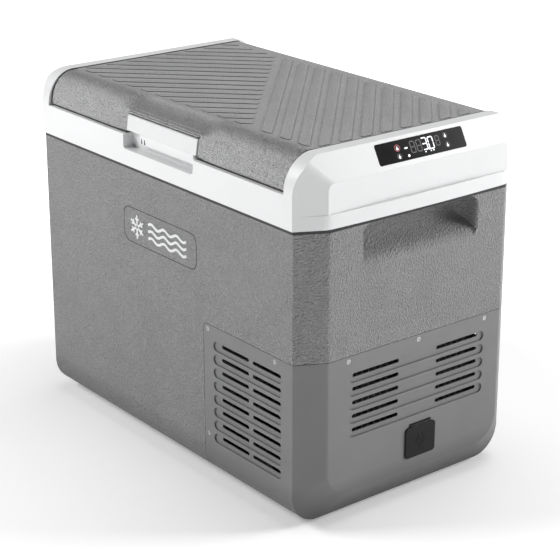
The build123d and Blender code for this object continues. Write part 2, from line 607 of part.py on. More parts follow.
def make_flap_hinge():
    """Two ears in the cover's groove and the pin through the flap's knuckle."""
    ears = pin_y(EAR_END, FLAP_KNUCKLE_R)
    ears += block(BODY_END - 2, BODY_END + 0.8, FLAP_Y - EAR_END, FLAP_Y + EAR_END,
                  FLAP_PIN_Z - 1, FLAP_PIN_Z + 2.4)
    inner = KNUCKLE_HALF + 0.4
    ears -= block(0, BEYOND, FLAP_Y - inner, FLAP_Y + inner, 0, BAY_Z)
    return ears + pin_y(EAR_END, FLAP_PIN_R)


# ---------------------------------------------------------------- machine bay

def make_base_plate():
    plate = block(BAY_X + 8, HALF_L - 26, -HALF_W + 40, HALF_W - 40, BASE_Z, DECK_Z)
    return fillet(plate.edges().filter_by(Axis.Z), 10)


def compressor_feet():
    """Centres of the compressor's three feet."""
    return [(COMP_X + 40, COMP_Y + 30), (COMP_X - 40, COMP_Y + 30), (COMP_X, COMP_Y - 52)]


def make_compressor():
    can = extrude(Pos(COMP_X, COMP_Y, COMP_LOW) * Circle(COMP_R), COMP_TOP - COMP_LOW)
    can = fillet(can.edges().filter_by(GeomType.CIRCLE), 18)
    can += extrude(Pos(COMP_X, COMP_Y, COMP_SEAM) * Circle(COMP_R + 2), 5)
    for x, y in compressor_feet():
        can += rod((COMP_X, COMP_Y, COMP_LOW + 10), (x, y, COMP_LOW + 10), 4)
        can += extrude(Pos(x, y, COMP_LOW) * Circle(COMP_PAD_R), 14)
    for x, y in compressor_feet():
        can -= extrude(Pos(x, y, COMP_LOW - 1) * Circle(GROMMET_R), 20)
    return can


def make_compressor_grommets():
    rubbers = []
    for x, y in compressor_feet():
        foot = extrude(Pos(x, y, DECK_Z) * Circle(COMP_PAD_R), COMP_LOW - DECK_Z)
        rubbers.append(foot + extrude(Pos(x, y, DECK_Z) * Circle(GROMMET_R), COMP_LOW + 14 - DECK_Z))
    return group(rubbers)


def make_condenser():
    """Tube and fin condenser behind the end grille."""
    middle = COND_X + COND_T / 2
    fins = []
    for row in range(FINS):
        y = (row - (FINS - 1) / 2) * FIN_PITCH
        fins.append(block(COND_X, COND_X + COND_T, y - 0.5, y + 0.5, COND_LOW, COND_TOP))
    tubes = []
    for level in range(COND_TUBES):
        z = COND_LOW + 12 + level * COND_PITCH
        tubes.append(rod((middle, -COND_REACH, z), (middle, COND_REACH, z), 3.5))
    return tubes[0] + tubes[1:] + fins


def make_fan_frame():
    """Square housing with a round bore, crossed struts, a motor disc and the shaft."""
    half = FAN_SIZE / 2
    frame = block(FAN_X, FAN_X + FAN_T, FAN_Y - half, FAN_Y + half, FAN_Z - half, FAN_Z + half)
    frame = fillet(frame.edges().filter_by(Axis.X), 6)
    frame -= bar_x(FAN_X - 1, FAN_X + FAN_T + 1, FAN_Y, FAN_Z, FAN_BORE)
    for turn in (45, 135):
        frame += Pos(FAN_X + 1.5, FAN_Y, FAN_Z) * Rot(turn, 0, 0) * Box(3, 2 * FAN_BORE + 4, 4)
    frame += bar_x(FAN_X, FAN_X + 3, FAN_Y, FAN_Z, FAN_HUB)
    return frame + bar_x(FAN_X + 3, FAN_X + 12, FAN_Y, FAN_Z, FAN_SHAFT)


def make_fan_rotor():
    front, back = FAN_X + 3.6, FAN_X + FAN_T - 2
    rotor = bar_x(front, back, FAN_Y, FAN_Z, FAN_HUB)
    for turn in range(FAN_BLADES):
        blade = Rot(turn * 360 / FAN_BLADES, 0, 0) * Pos(0, 30, 0) * Rot(0, 35, 0) * Box(15, 27, 1.8)
        rotor += Pos((front + back) / 2, FAN_Y, FAN_Z) * blade
    rotor &= block(front, back, -BEYOND, BEYOND, 0, BEYOND)
    return rotor - bar_x(FAN_X + 2, FAN_X + 12.5, FAN_Y, FAN_Z, FAN_SHAFT + 0.05)


def make_control_module():
    """Controller of the compressor: a box with cooling fins on top."""
    x0, y0, y1, top, fin_top = 100.0, -130.0, -76.0, 46.0, 60.0
    box = block(x0, x0 + 76, y0, y1, DECK_Z, top)
    for fin in range(7):
        box += block(x0 + 4 + fin * 10, x0 + 7 + fin * 10, y0, y1, top, fin_top)
    return box


def make_filter_drier():
    can = rod((104, 0, 60), (104, 0, 140), 9)
    return fillet(can.edges().filter_by(GeomType.CIRCLE), 6)


def pipe(points, radius, bends):
    """Refrigerant pipe with round bends."""
    path = FilletPolyline(*points, radius=bends)
    start = path % 0
    return sweep(Plane(origin=points[0], z_dir=start) * Circle(radius), path)


def make_suction_pipe():
    x0, y, level = 100.0, COMP_Y + 20, 178.0
    return pipe([(COMP_X, y, COMP_TOP), (COMP_X, y, level), (x0, y, level), (x0, y, BAY_Z)], 3, 9)


def make_discharge_pipe():
    x1, y, level = COND_X + COND_T / 2, COMP_Y - 20, 195.0
    return pipe([(COMP_X, y, COMP_TOP), (COMP_X, y, level), (x1, y, level), (x1, y, COND_TOP)], 2.5, 5)


def at_feet(make):
    """The shape that make() gives, at each of the four feet."""
    return group([Pos(x, y, 0) * make() for x in (-FOOT_X, FOOT_X) for y in (-FOOT_Y, FOOT_Y)])


def rubber_foot():
    """Round foot with a recess for its screw."""
    return extrude(Circle(FOOT_R), FOOT_H, taper=-4) - extrude(Pos(0, 0, -1) * Circle(5), 4.5)


def foot_screw():
    """Head of the screw that holds a foot."""
    return extrude(Pos(0, 0, 1.6) * Circle(4), 1.9)


# ---------------------------------------------------------------- inside

def make_storage_basket():
    """Lift-out bin that stands on the shelf over the machine bay."""
    x0, x1, half = STEP_X + BIN_LEFT, MOUTH_X - BIN_SIDE, MOUTH_Y - BIN_SIDE
    low, top = STEP_Z + 0.3, STEP_Z + BIN_H
    outer = block(x0, x1, -half, half, low, top)
    inner = block(x0 + BIN_T, x1 - BIN_T, -half + BIN_T, half - BIN_T, low + BIN_T, top + 1)
    return fillet(outer.edges().filter_by(Axis.Z), 12) - fillet(inner.edges().filter_by(Axis.Z), 10)


def make_light_lens():
    """Lens of the inner light, on the end wall of the mouth."""
    return block(MOUTH_X - 3, MOUTH_X, -LAMP_W / 2, LAMP_W / 2, LAMP_Z - LAMP_H / 2, LAMP_Z + LAMP_H / 2)


PARTS = {
    "outer_shell": make_outer_shell,
    "foam_insulation": make_foam,
    "inner_liner": make_inner_liner,
    "evaporator_plate": evaporator_volume,
    "top_frame": make_top_frame,
    "display_lens": make_display_lens,
    "display_board": make_display_board,
    "latch_catch": make_latch_catch,
    "badge_plate": lambda: badge_volume(0.5, BADGE_DEEP),
    "lid_outer": make_lid_outer,
    "lid_liner": make_lid_liner,
    "lid_foam": make_lid_foam,
    "lid_gasket": make_lid_gasket,
    "lid_hinge_arms": make_lid_hinge_arms,
    "hinge_brackets": make_hinge_brackets,
    "hinge_pins": make_hinge_pins,
    "latch_handle": make_latch_handle,
    "latch_bracket": make_latch_bracket,
    "latch_pin": make_latch_pin,
    "lower_cover": make_lower_cover,
    "cover_screws": lambda: group(on_cover(cover_screw)),
    "power_socket": make_power_socket,
    "socket_flap": make_socket_flap,
    "flap_hinge": make_flap_hinge,
    "base_plate": make_base_plate,
    "compressor": make_compressor,
    "compressor_grommets": make_compressor_grommets,
    "condenser": make_condenser,
    "fan_frame": make_fan_frame,
    "fan_rotor": make_fan_rotor,
    "control_module": make_control_module,
    "filter_drier": make_filter_drier,
    "suction_pipe": make_suction_pipe,
    "discharge_pipe": make_discharge_pipe,
    "rubber_feet": lambda: at_feet(rubber_foot),
    "foot_screws": lambda: at_feet(foot_screw),
    "storage_basket": make_storage_basket,
    "light_lens": make_light_lens,
}

os.makedirs("parts", exist_ok=True)
for name, make in PARTS.items():
    export_step(make(), f"parts/{name}.step")
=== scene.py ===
"""Portable compressor cooler fridge: the looks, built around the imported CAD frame.

Metres, row frame: +Z up, +X towards the control end, the front with the latch faces -Y.
"""
import json
import math

import bmesh
import bpy
from mathutils import Matrix, Vector


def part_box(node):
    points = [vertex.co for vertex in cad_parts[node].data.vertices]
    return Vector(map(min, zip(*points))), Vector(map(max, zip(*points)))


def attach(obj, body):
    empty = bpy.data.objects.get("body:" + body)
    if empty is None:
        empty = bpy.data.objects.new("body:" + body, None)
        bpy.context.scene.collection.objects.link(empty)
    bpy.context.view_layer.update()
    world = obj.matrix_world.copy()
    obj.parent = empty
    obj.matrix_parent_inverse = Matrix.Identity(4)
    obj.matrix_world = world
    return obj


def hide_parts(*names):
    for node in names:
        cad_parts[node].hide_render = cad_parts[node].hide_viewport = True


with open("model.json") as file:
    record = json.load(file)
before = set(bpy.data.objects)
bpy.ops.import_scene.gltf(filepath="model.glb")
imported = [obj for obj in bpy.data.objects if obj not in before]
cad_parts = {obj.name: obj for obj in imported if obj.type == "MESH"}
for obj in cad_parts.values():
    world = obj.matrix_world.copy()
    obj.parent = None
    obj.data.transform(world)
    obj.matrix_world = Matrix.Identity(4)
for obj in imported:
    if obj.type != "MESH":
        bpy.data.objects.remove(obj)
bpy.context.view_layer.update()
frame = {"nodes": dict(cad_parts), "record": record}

NODES = frame["nodes"]
MM = 0.001


# ------------------------------------------------------------------ camera, light, floor

CAMERA_AT = Vector((1.5315, -1.1921, 0.9166))
CAMERA_AZIMUTH, CAMERA_ELEVATION = math.radians(51.61), math.radians(18.67)
CAMERA_LENS, CAMERA_SENSOR, CAMERA_SHIFT = 107.99, 36.0, -0.1
LIGHTS = [  # name, place, size, power in watts
    ("front_left_light", (-1.6, -2.1, 2.0), 1.2, 66),
    ("back_right_light", (1.7, 2.5, 1.4), 1.2, 74),
    ("top_light", (0.1, 0.5, 2.6), 2.0, 30),
]
LIGHT_AIM, WORLD_STRENGTH = Vector((0, 0, 0.2)), 0.04
FLOOR_HALF, FLOOR_WHITE = 60, (0.93, 0.93, 0.93)
GLOW_NEAR, GLOW_FAR = (0.4, 0.24), (1.3, 0.95)      # distance from the middle, and the floor's glow there


def make_camera():
    """Camera at the photo's angle, looking along its own azimuth and elevation."""
    data = bpy.data.cameras.new("camera")
    data.lens, data.sensor_width, data.shift_y = CAMERA_LENS, CAMERA_SENSOR, CAMERA_SHIFT
    data.dof.use_dof = False
    camera = bpy.data.objects.new("camera", data)
    flat = math.cos(CAMERA_ELEVATION)
    back = Vector((math.sin(CAMERA_AZIMUTH) * flat, -math.cos(CAMERA_AZIMUTH) * flat,
                   math.sin(CAMERA_ELEVATION)))
    camera.location = CAMERA_AT
    camera.rotation_mode = "QUATERNION"
    camera.rotation_quaternion = (-back).to_track_quat("-Z", "Y")
    bpy.context.scene.collection.objects.link(camera)
    bpy.context.scene.camera = camera


def soft_box(name, place, size, power):
    """Square area light aimed at the object's middle."""
    data = bpy.data.lights.new(name, "AREA")
    data.shape, data.size, data.energy = "SQUARE", size, power
    light = bpy.data.objects.new(name, data)
    light.location = place
    light.rotation_mode = "QUATERNION"
    light.rotation_quaternion = (LIGHT_AIM - Vector(place)).to_track_quat("-Z", "Y")
    bpy.context.scene.collection.objects.link(light)


def make_studio():
    """Soft boxes, and a weak even light from all round."""
    for name, place, size, power in LIGHTS:
        soft_box(name, place, size, power)
    world = bpy.data.worlds.new("studio")
    world.use_nodes = True
    world.node_tree.nodes["Background"].inputs["Color"].default_value = (1, 1, 1, 1)
    world.node_tree.nodes["Background"].inputs["Strength"].default_value = WORLD_STRENGTH
    bpy.context.scene.world = world
    bpy.context.scene.view_settings.view_transform = "Standard"


def make_floor():
    """Matt pale floor with a painted glow that grows away from the object, so that it lightens there."""
    sheet = bmesh.new()
    bmesh.ops.create_grid(sheet, x_segments=2, y_segments=2, size=FLOOR_HALF)
    floor = mesh_object("floor", sheet)
    material, tree, shader = new_material("floor_white")
    tone = colour_ramp(tree, noise(tree, 40), tinted(FLOOR_WHITE, 0.995), FLOOR_WHITE)
    link(tree, tone, shader.inputs["Base Color"])
    shader.inputs["Roughness"].default_value = 0.9
    # painted light: the floor glows, weakly near the object and strongly far from it
    shader.inputs["Emission Color"].default_value = (*FLOOR_WHITE, 1)
    reach = tree.nodes.new("ShaderNodeVectorMath")
    reach.operation = "LENGTH"
    link(tree, coordinates(tree), reach.inputs[0])
    glow = value_ramp(tree, reach.outputs["Value"], GLOW_NEAR[1], GLOW_FAR[1], GLOW_NEAR[0], GLOW_FAR[0])
    link(tree, glow, shader.inputs["Emission Strength"])
    floor.data.materials.append(material)


# ------------------------------------------------------------------ mesh helpers

SOFT_ANGLE = 35         # degrees between faces past which an edge is an edge and not a curve


def mesh_object(name, sheet, smooth_angle=None):
    """Object made from a bmesh, which is freed."""
    mesh = bpy.data.meshes.new(name)
    sheet.normal_update()
    sheet.to_mesh(mesh)
    sheet.free()
    if smooth_angle is not None:
        mesh.shade_smooth()
        mesh.set_sharp_from_angle(angle=math.radians(smooth_angle))
    made = bpy.data.objects.new(name, mesh)
    bpy.context.scene.collection.objects.link(made)
    return made


def add_piece(name, sheet, body, material, smooth_angle=SOFT_ANGLE):
    """Mesh piece that rides on a CAD body."""
    piece = mesh_object(name, sheet, smooth_angle)
    piece.data.materials.append(material)
    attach(piece, body)
    return piece


def soften(piece, width):
    """Small rounded edges, as a moulding has."""
    edge = piece.modifiers.new("soft_edges", "BEVEL")
    edge.width, edge.segments, edge.limit_method = width, 2, "ANGLE"
    edge.angle_limit = math.radians(SOFT_ANGLE)


def box_between(sheet, low, high):
    """Adds a box between two corners."""
    corners = [sheet.verts.new((x, y, z)) for x in (low[0], high[0]) for y in (low[1], high[1])
               for z in (low[2], high[2])]
    for face in ((0, 1, 3, 2), (4, 6, 7, 5), (0, 4, 5, 1), (2, 3, 7, 6), (0, 2, 6, 4), (1, 5, 7, 3)):
        sheet.faces.new([corners[i] for i in face])


def join_rims(sheet, rims):
    """Adds closed rims of points and the faces between each and the next, the last joined to the first."""
    rims = [[sheet.verts.new(point) for point in rim] for rim in rims]
    for here, following in zip(rims, rims[1:] + rims[:1]):
        for i in range(len(here)):
            j = (i + 1) % len(here)
            sheet.faces.new((here[i], here[j], following[j], following[i]))


def join_rows(sheet, rows):
    """Adds a solid strip from its cross-sections in order."""
    rows = [[sheet.verts.new(point) for point in row] for row in rows]
    for here, following in zip(rows, rows[1:]):
        for i in range(len(here)):
            j = (i + 1) % len(here)
            sheet.faces.new((here[i], following[i], following[j], here[j]))
    sheet.faces.new(rows[0])
    sheet.faces.new(rows[-1][::-1])


def rounded(outline, radius, steps=5):
    """Convex outline with each corner turned into an arc, as large as its edges allow."""
    made = []
    count = len(outline)
    for i, corner in enumerate(outline):
        before, after = outline[i - 1] - corner, outline[(i + 1) % count] - corner
        half = before.angle(after) / 2
        reach = min(radius / math.tan(half), 0.49 * before.length, 0.49 * after.length)
        start, end = corner + before.normalized() * reach, corner + after.normalized() * reach
        for step in range(steps + 1):
            share = step / steps
            made.append((1 - share) ** 2 * start + 2 * share * (1 - share) * corner + share ** 2 * end)
    return made


# ------------------------------------------------------------------ materials

NOISE_LOW, NOISE_HIGH = 0.3, 0.7     # the part of a noise's range that its two ends are spread over
CREASE = (0.1, 0.6)                  # cell distances from a pebble's middle to the crease round it, over which painted shade darkens the crease
PATCH = 18.0                         # faint uneven patches of a moulding, per metre


def new_material(name):
    """Material with its node tree and its shader."""
    material = bpy.data.materials.new(name)
    material.use_nodes = True
    return material, material.node_tree, material.node_tree.nodes["Principled BSDF"]


def link(tree, source, target):
    tree.links.new(source, target)


def coordinates(tree, source="Object"):
    """Place, or normal, in the object's own axes."""
    return tree.nodes.new("ShaderNodeTexCoord").outputs[source]


def noise(tree, scale, detail=3.0, stretch=(1, 1, 1)):
    """Noise in object space, in cycles per metre."""
    mapping = tree.nodes.new("ShaderNodeMapping")
    mapping.inputs["Scale"].default_value = stretch
    link(tree, coordinates(tree), mapping.inputs["Vector"])
    node = tree.nodes.new("ShaderNodeTexNoise")
    node.inputs["Scale"].default_value = scale
    node.inputs["Detail"].default_value = detail
    link(tree, mapping.outputs["Vector"], node.inputs["Vector"])
    return node.outputs["Fac"]


def cells(tree, scale):
    """Smooth cell pattern in object space, in cells per metre."""
    node = tree.nodes.new("ShaderNodeTexVoronoi")
    node.feature = "SMOOTH_F1"
    node.inputs["Smoothness"].default_value = 0.6
    node.inputs["Scale"].default_value = scale
    link(tree, coordinates(tree), node.inputs["Vector"])
    return node.outputs["Distance"]


def value_ramp(tree, factor, low, high, from_low=NOISE_LOW, from_high=NOISE_HIGH):
    """Value that goes from low to high as the factor goes from from_low to from_high."""
    node = tree.nodes.new("ShaderNodeMapRange")
    levels = {"From Min": from_low, "From Max": from_high, "To Min": low, "To Max": high}
    for socket, value in levels.items():
        node.inputs[socket].default_value = value
    link(tree, factor, node.inputs["Value"])
    return node.outputs["Result"]


def colour_ramp(tree, factor, low, high):
    """Two colours mixed by a noise."""
    node = tree.nodes.new("ShaderNodeValToRGB")
    for stop, position, colour in zip(node.color_ramp.elements, (NOISE_LOW, NOISE_HIGH), (low, high)):
        stop.position = position
        stop.color = (*colour, 1)
    link(tree, factor, node.inputs["Fac"])
    return node.outputs["Color"]


def bump(tree, height, distance, strength, after=None):
    """Bump from a height, over an earlier bump if there is one."""
    node = tree.nodes.new("ShaderNodeBump")
    node.inputs["Distance"].default_value = distance
    node.inputs["Strength"].default_value = strength
    link(tree, height, node.inputs["Height"])
    if after is not None:
        link(tree, after, node.inputs["Normal"])
    return node.outputs["Normal"]


def tinted(colour, share):
    """Plain colour value made darker or lighter by a share."""
    return tuple(c * share for c in colour)


def along_axis(tree, source, axis, *levels):
    """Value that follows an axis of the object's own place or normal: (low value, high value, from, to)."""
    split = tree.nodes.new("ShaderNodeSeparateXYZ")
    link(tree, coordinates(tree, source), split.inputs["Vector"])
    return value_ramp(tree, split.outputs[axis], *levels)


def scaled(tree, colour, factor):
    """Colour made darker or lighter by a factor."""
    node = tree.nodes.new("ShaderNodeVectorMath")
    node.operation = "SCALE"
    link(tree, colour, node.inputs[0])
    link(tree, factor, node.inputs["Scale"])
    return node.outputs["Vector"]


def moulded(name, colour, roughness, grain, variation=0.04, shine=0.5, shade=None, fade=None, painted_crease_shade=None):
    """Moulded plastic, rubber or enamel. grain is a list of (kind, scale, distance in metres, strength),
    shade paints light and shade into the tone along an axis, fade weakens the grain along Y, and the crease
    shade (cells per metre, crease and middle shares) paints shade into its creases and lightens the pebble
    middles."""
    material, tree, shader = new_material(name)
    patches = noise(tree, PATCH, 4.0)
    tone = colour_ramp(tree, patches, tinted(colour, 1 - variation), tinted(colour, 1 + variation))
    if shade:
        # painted light and shade: the tone is scaled along an axis
        tone = scaled(tree, tone, along_axis(tree, *shade))
    if painted_crease_shade:
        # painted shade: darker creases round each pebble, paler pebble middles
        scale, low, high = painted_crease_shade
        tone = scaled(tree, tone, value_ramp(tree, cells(tree, scale), high, low, *CREASE))
    link(tree, tone, shader.inputs["Base Color"])
    polish = value_ramp(tree, noise(tree, PATCH * 3, 5.0), roughness - 0.04, roughness + 0.05)
    link(tree, polish, shader.inputs["Roughness"])
    shader.inputs["Specular IOR Level"].default_value = shine
    normal = None
    for kind, scale, distance, strength in grain:
        height = cells(tree, scale) if kind == "cells" else noise(tree, scale, 4.0)
        normal = bump(tree, height, distance, strength, normal)
        if fade:
            low, high, start, end = fade
            link(tree, along_axis(tree, "Object", "Y", low * strength, high * strength, start, end),
                 normal.node.inputs["Strength"])
    if normal is not None:
        link(tree, normal, shader.inputs["Normal"])
    return material


def metal(name, colour, roughness, brush=(1, 1, 1)):
    """Metal with fine brushing along one way."""
    material, tree, shader = new_material(name)
    shader.inputs["Metallic"].default_value = 1.0
    streak = noise(tree, 500, 4.0, brush)
    link(tree, colour_ramp(tree, streak, tinted(colour, 0.9), colour), shader.inputs["Base Color"])
    link(tree, value_ramp(tree, streak, roughness - 0.06, roughness + 0.1), shader.inputs["Roughness"])
    link(tree, bump(tree, streak, 0.00005, 0.4), shader.inputs["Normal"])
    return material


def glass(name, colour, roughness, transmission=0.0):
    """Black lens glass, or the frosted lens of the inner light."""
    material, tree, shader = new_material(name)
    smear = noise(tree, 60, 4.0)
    link(tree, value_ramp(tree, smear, roughness, roughness + 0.05), shader.inputs["Roughness"])
    link(tree, colour_ramp(tree, smear, tinted(colour, 0.95), colour), shader.inputs["Base Color"])
    shader.inputs["Specular IOR Level"].default_value = 0.04
    shader.inputs["Transmission Weight"].default_value = transmission
    return material


LEATHER_CELLS, STIPPLE_CELLS = 520, 560                 # pebbles per metre on the case and on the lid
LEATHER = [("cells", LEATHER_CELLS, 0.0030, 1.0), ("noise", 1000, 0.0012, 0.8)]
STIPPLE = [("cells", STIPPLE_CELLS, 0.0036, 1.0), ("noise", 1000, 0.0016, 0.9)]
FINE = [("noise", 1500, 0.00012, 0.35)]
BODY_TONE, LID_TONE = (0.33, 0.33, 0.333), (0.37, 0.37, 0.373)
LOW_PAINTED_SHADE = ("Object", "Z", 0.2, 1.0, 0.0, 0.055)       # painted shade: the case's low edges are darker
ROUND_PAINTED_HIGHLIGHT = ("Normal", "Z", 1.65, 1.0, 0.7, 0.94)     # painted highlight: the lid's rounded edges are paler
TOP_FADE = (1.0, 0.35, -0.128, -0.112)                  # the lid's flat top is smoother than its front


def leather_grey(name, shade=None):
    """Leather grain of the case and its badge."""
    return moulded(name, BODY_TONE, 0.5, LEATHER, shade=shade, painted_crease_shade=(LEATHER_CELLS, 0.8, 1.12))


def stipple_grey(name, shade):
    """Coarse stipple of the lid."""
    return moulded(name, LID_TONE, 0.52, STIPPLE, shine=0.35, shade=shade, fade=TOP_FADE,
                   painted_crease_shade=(STIPPLE_CELLS, 0.84, 1.12))


MATERIALS = {
    "body_grey": leather_grey("body_grey", LOW_PAINTED_SHADE),
    "lid_grey": stipple_grey("lid_grey", ROUND_PAINTED_HIGHLIGHT),
    "cover_grey": moulded("cover_grey", (0.188, 0.188, 0.19), 0.5, FINE, shade=LOW_PAINTED_SHADE),
    "badge_grey": leather_grey("badge_grey"),
    "frame_white": moulded("frame_white", (0.75, 0.755, 0.76), 0.35, FINE, 0.01),
    "hinge_white": moulded("hinge_white", (0.78, 0.785, 0.79), 0.4, FINE, 0.02),
    "liner_white": moulded("liner_white", (0.8, 0.81, 0.82), 0.3, FINE, 0.015),
    "foam": moulded("foam", (0.8, 0.72, 0.45), 0.9, [("cells", 900, 0.0006, 0.7)], 0.06),
    "aluminium_plate": metal("aluminium_plate", (0.4, 0.41, 0.42), 0.5, (1, 20, 1)),
    "display_glass": glass("display_glass", (0.004, 0.004, 0.005), 0.16),
    "circuit_board": moulded("circuit_board", (0.03, 0.16, 0.07), 0.35, FINE),
    "seal_rubber": moulded("seal_rubber", (0.035, 0.035, 0.037), 0.7, FINE, 0.1),
    "steel": metal("steel", (0.62, 0.62, 0.64), 0.28, (20, 1, 1)),
    "dark_screw": metal("dark_screw", (0.5, 0.5, 0.51), 0.3),
    "black_plastic": moulded("black_plastic", (0.008, 0.008, 0.009), 0.5, FINE, 0.12, shine=0.22),
    "black_paint": moulded("black_paint", (0.015, 0.015, 0.016), 0.3, [("noise", 300, 0.0002, 0.3)], 0.1),
    "copper": metal("copper", (0.8, 0.42, 0.27), 0.3, (1, 1, 20)),
    "basket_grey": moulded("basket_grey", (0.55, 0.56, 0.57), 0.45, FINE, 0.02),
    "lens_clear": glass("lens_clear", (0.9, 0.93, 0.96), 0.35, transmission=0.6),
}


def dress_cad_nodes():
    """Each carried-over CAD node gets its slot's material."""
    for part in frame["record"]["subparts"]:
        node = NODES[part["node"]]
        node.data.materials.clear()
        node.data.materials.append(MATERIALS[part["material_slot"]])


# ------------------------------------------------------------------ flat marks on a face

def flat_place(origin, right, up):
    """Matrix from a mark's own plane, in metres, to a face of the object."""
    out = right.cross(up)
    place = Matrix((right, up, out)).transposed().to_4x4()
    place.translation = origin
    return place


def slab(sheet, outline, place, thickness, sink=0.0):
    """Adds a thin closed prism with the given outline, standing out of a face."""
    low = [sheet.verts.new(place @ Vector((x, y, -sink))) for x, y in outline]
    high = [sheet.verts.new(place @ Vector((x, y, thickness))) for x, y in outline]
    sheet.faces.new(high)
    sheet.faces.new(low[::-1])
    for i, corner in enumerate(low):
        after = (i + 1) % len(low)
        sheet.faces.new((corner, low[after], high[after], high[i]))


DISC_STEPS, RING_STEPS = 20, 28


def turned(centre, radius, step, count):
    """Point number step of count round a circle."""
    angle = 2 * math.pi * step / count
    return centre[0] + radius * math.cos(angle), centre[1] + radius * math.sin(angle)


def bar_outline(start, end, width):
    """Straight stroke with pointed ends."""
    a, b = Vector(start), Vector(end)
    along = (b - a).normalized()
    side = Vector((-along.y, along.x)) * width / 2
    tip = along * width / 2
    return [a - tip, a - side, b - side, b + tip, b + side, a + side]


def disc_outline(centre, radius):
    """Round outline."""
    return [turned(centre, radius, i, DISC_STEPS) for i in range(DISC_STEPS)]


def ring(sheet, centre, radius, width, place, thickness):
    """Adds a thin ring."""
    levels = ((radius, 0), (radius, thickness), (radius - width, thickness), (radius - width, 0))
    join_rims(sheet, [[place @ Vector((*turned(centre, reach, i, RING_STEPS), height))
                       for i in range(RING_STEPS)] for reach, height in levels])


def ribbon(sheet, points, width, place, thickness):
    """Adds a stroke of constant width along a smooth line of points."""
    line = [Vector(p) for p in points]
    rows = []
    for i, point in enumerate(line):
        along = (line[min(i + 1, len(line) - 1)] - line[max(i - 1, 0)]).normalized()
        side = Vector((-along.y, along.x)) * width / 2
        rows.append([place @ Vector((*(point + side * sign), height))
                     for sign, height in ((-1, 0), (1, 0), (1, thickness), (-1, thickness))])
    join_rows(sheet, rows)


# ------------------------------------------------------------------ display

SEGMENTS = {  # ends of each stroke, in halves of the digit's width and height
    "top": ((-1, 1), (1, 1)), "middle": ((-1, 0), (1, 0)), "bottom": ((-1, -1), (1, -1)),
    "top_left": ((-1, 1), (-1, 0)), "top_right": ((1, 1), (1, 0)),
    "low_left": ((-1, 0), (-1, -1)), "low_right": ((1, 0), (1, -1)),
}
THREE = ("top", "middle", "bottom", "top_right", "low_right")
ZERO = ("top", "bottom", "top_left", "top_right", "low_left", "low_right")
EIGHT = tuple(SEGMENTS)
MARK_T, LENS_T = 0.12 * MM, 1.6 * MM
DIGITS = [  # sheet, middle, width and height in mm, strokes
    ("dim", (-12.4, 1.0), (6.2, 12.5), EIGHT), ("dim", (-3.3, 1.0), (6.2, 12.5), EIGHT),
    ("dim", (24.2, 1.8), (5.2, 10.5), EIGHT),
    ("lit", (5.0, 1.6), (6.6, 13.0), THREE), ("lit", (14.2, 1.2), (6.6, 13.0), ZERO),
]
BARS = [  # two ends and width in mm
    ((-23.6, 1.4), (-20.4, 1.4), 1.7),
    ((3.2, -7.4), (4.2, -7.4), 1.3), ((11.1, -7.4), (12.1, -7.4), 1.3), ((14.9, -7.4), (15.9, -7.4), 1.3),
]
DOTS = [((9.7, -5.2), 0.9), ((-20.8, -7.4), 1.5)]                   # middle and radius in mm
KEYS = [(-34, 3.4), (-34, -6.0), (36.8, 5.6), (37.0, -5.0)]         # middles in mm, the red one first


def display_place():
    """Plane of the display glass: right along +Y, up the slope."""
    low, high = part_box("display_lens")
    rise, run = high.z - low.z, high.x - low.x
    tilt = math.atan2(rise, run)
    for _ in range(4):      # the box holds the lens's thickness too, so its diagonal isn't the slope
        tilt = math.atan2(rise - LENS_T * math.cos(tilt), run - LENS_T * math.sin(tilt))
    up = Vector((-math.cos(tilt), 0, math.sin(tilt)))
    out = Vector((0, 1, 0)).cross(up)
    return flat_place((low + high) / 2 + out * LENS_T / 2, Vector((0, 1, 0)), up)


def digit(sheet, place, centre, size, names):
    """Adds a seven-segment digit, sized in mm."""
    stroke = size[0] * 0.2
    for name in names:
        ends = [Vector((centre[0] + x * size[0] / 2, centre[1] + y * size[1] / 2))
                for x, y in SEGMENTS[name]]
        gap = (ends[1] - ends[0]).normalized() * stroke * 0.62
        bar(sheet, place, ends[0] + gap, ends[1] - gap, stroke)


def bar(sheet, place, start, end, width):
    """Adds a stroke on the glass, sized in mm."""
    slab(sheet, bar_outline(Vector(start) * MM, Vector(end) * MM, width * MM), place, MARK_T)


def dot(sheet, place, centre, radius):
    """Adds a dot on the glass, sized in mm."""
    slab(sheet, disc_outline(Vector(centre) * MM, radius * MM), place, MARK_T)


def key_mark(lit, dim, place, x, y):
    """Adds a touch key's ring with a small round and upright mark in it, sized in mm."""
    ring(dim, Vector((x, y)) * MM, 3.3 * MM, 0.55 * MM, place, MARK_T)
    dot(lit, place, (x, y - 0.9), 1.45)
    bar(lit, place, (x, y - 0.5), (x, y + 1.6), 0.9)


def glow_material(name, colour, strength):
    """Lit display segment, a little uneven as a real one is."""
    material, tree, shader = new_material(name)
    uneven = noise(tree, 900, 2.0)
    link(tree, colour_ramp(tree, uneven, tinted(colour, 0.9), colour), shader.inputs["Emission Color"])
    shader.inputs["Emission Strength"].default_value = strength
    shader.inputs["Base Color"].default_value = (0.02, 0.02, 0.02, 1)
    shader.inputs["Roughness"].default_value = 0.5
    return material


